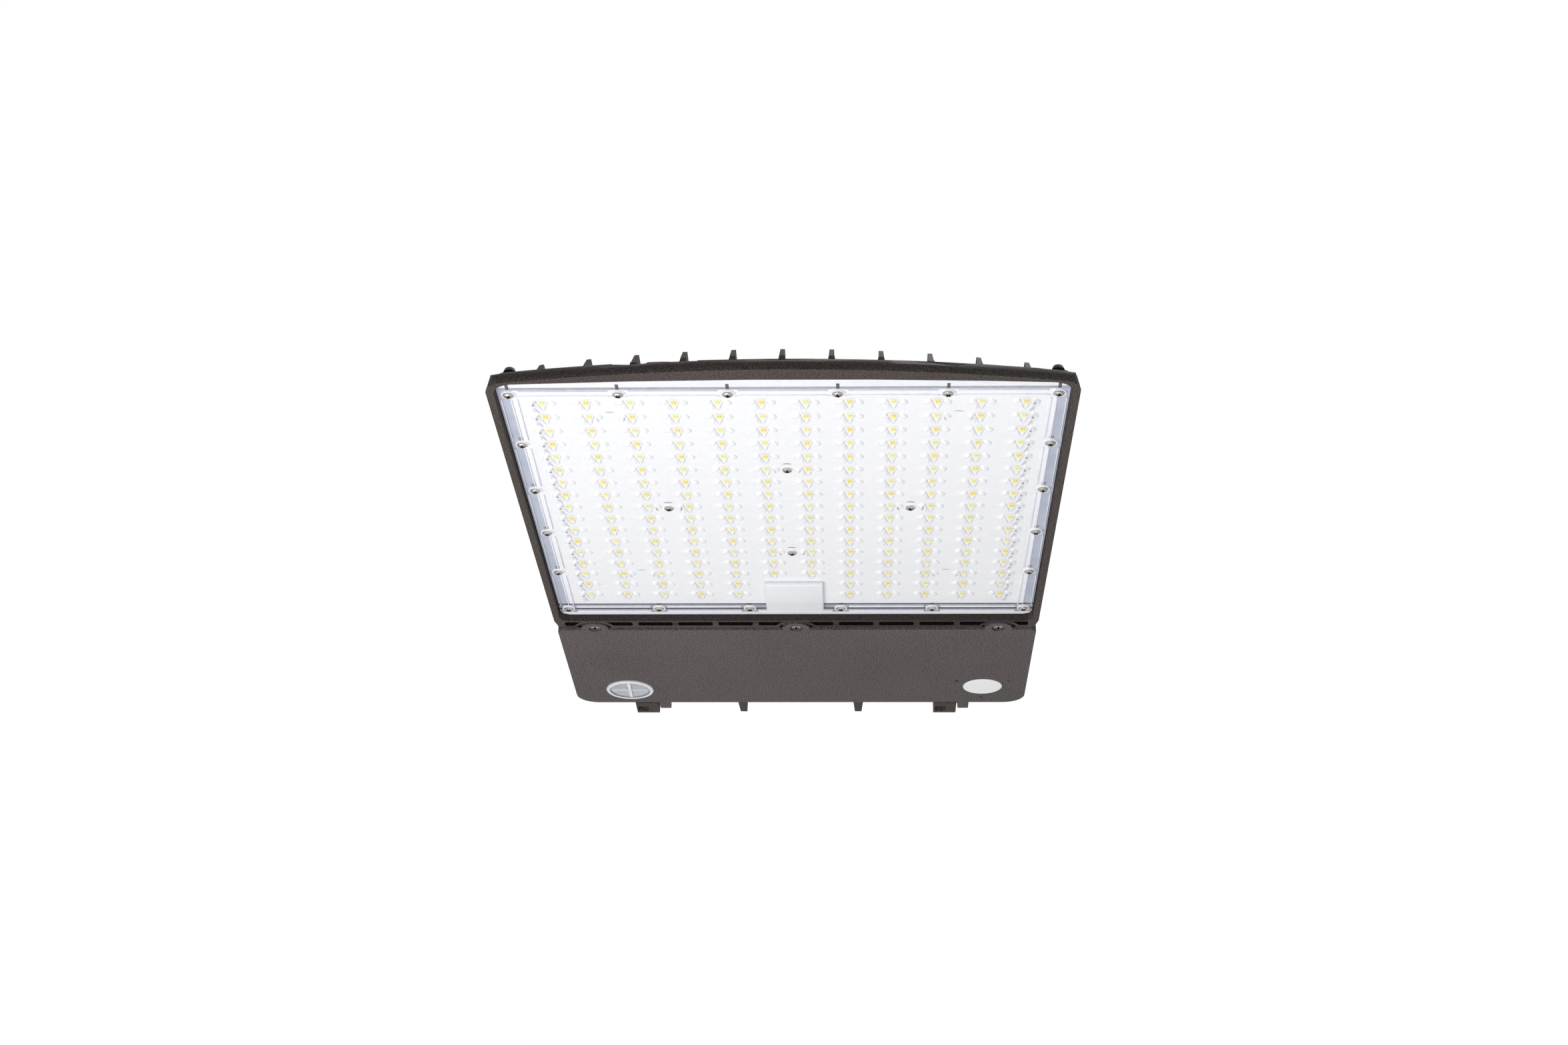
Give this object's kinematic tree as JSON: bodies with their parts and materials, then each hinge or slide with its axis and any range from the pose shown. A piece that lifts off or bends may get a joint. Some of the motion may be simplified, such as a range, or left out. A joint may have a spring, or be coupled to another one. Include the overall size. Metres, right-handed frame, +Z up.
{
  "type": "shoebox area light",
  "caption": "Flat finned area light with a tray of moulded optics and a hinged driver door, for an arm on a pole.",
  "frame": {"origin": "centre of the arm-mounting face on the rear wall", "axes": "+Y out of the mounting face towards the pole, the light reaches forward along -Y; +Z up, the lamp looks down along -Z; +X to the right seen from below with the front up"},
  "size_m": [0.386, 0.6203, 0.0697],
  "materials": {
    "casting": "die cast, fine-textured dark bronze powder coat",
    "clear_plastic": "clear moulded plastic",
    "cap_clear": "clear moulded plastic",
    "board_white": "white solder mask",
    "led_cool": "pale yellow phosphor",
    "led_warm": "orange-yellow phosphor",
    "gasket_grey": "grey silicone",
    "rubber_black": "black",
    "screw_steel": "plated, cross recess",
    "ground_green": "green plated",
    "driver_case": "drawn sheet",
    "zinc_sheet": "zinc-plated sheet",
    "switch_blue": "blue-grey moulding",
    "plastic_black": "black moulding",
    "plastic_white": "white moulding",
    "plug_white": "white moulding",
    "cable_white": "cable jacket",
    "cable_grey": "cable jacket",
    "cable_black": "cable jacket"
  },
  "bodies": {
    "casing": {"housing": "casting", "led_board": "board_white", "cool_leds": "led_cool", "warm_leds": "led_warm", "board_connector": "plastic_white", "lens": "clear_plastic", "lens_gasket": "gasket_grey", "lens_rim_screws": "screw_steel", "lens_centre_screws": "screw_steel", "board_screws": "screw_steel", "corner_plugs": "rubber_black", "led_driver": "driver_case", "driver_end_caps": "plastic_black", "surge_protector": "plastic_black", "terminal_block": "plastic_white", "device_screws": "screw_steel", "ground_screw": "ground_green", "bracket_screws": "screw_steel", "wire_grommet": "rubber_black", "cable_gland": "rubber_black", "selector_bracket": "zinc_sheet", "selector_switch": "switch_blue", "led_cable": "cable_white", "selector_cable": "cable_grey", "input_cable": "cable_black", "surge_cable": "cable_black"},
    "door": {"driver_door": "casting", "hinge_pins": "screw_steel", "door_gasket": "gasket_grey", "door_screws": "screw_steel", "screw_retainers": "plastic_black", "cap_seal": "rubber_black", "plug_seal": "rubber_black"},
    "cap": {"selector_cap": "cap_clear"},
    "plug": {"sensor_plug": "plug_white"},
    "power": {"power_slider": "plastic_white"},
    "cct": {"cct_slider": "plastic_white"}
  },
  "joints": [
    {"name": "door_hinge", "type": "hinge", "parent": "casing", "child": "door", "pos_m": [0, 0.006, -0.0275], "axis": [1, 0, 0], "range_deg": [0, 95]},
    {"name": "selector_cap_twist", "type": "hinge", "parent": "door", "child": "cap", "pos_m": [-0.1453, -0.039, -0.034], "axis": [0, 0, -1], "range_deg": [0, 90]},
    {"name": "sensor_plug_pull", "type": "slide", "parent": "door", "child": "plug", "axis": [0, 0, -1], "range_m": [0, 0.012]},
    {"name": "power_slide", "type": "slide", "parent": "casing", "child": "power", "axis": [1, 0, 0], "range_m": [-0.0025, 0.0025]},
    {"name": "cct_slide", "type": "slide", "parent": "casing", "child": "cct", "axis": [1, 0, 0], "range_m": [-0.0025, 0.0025]}
  ]
}
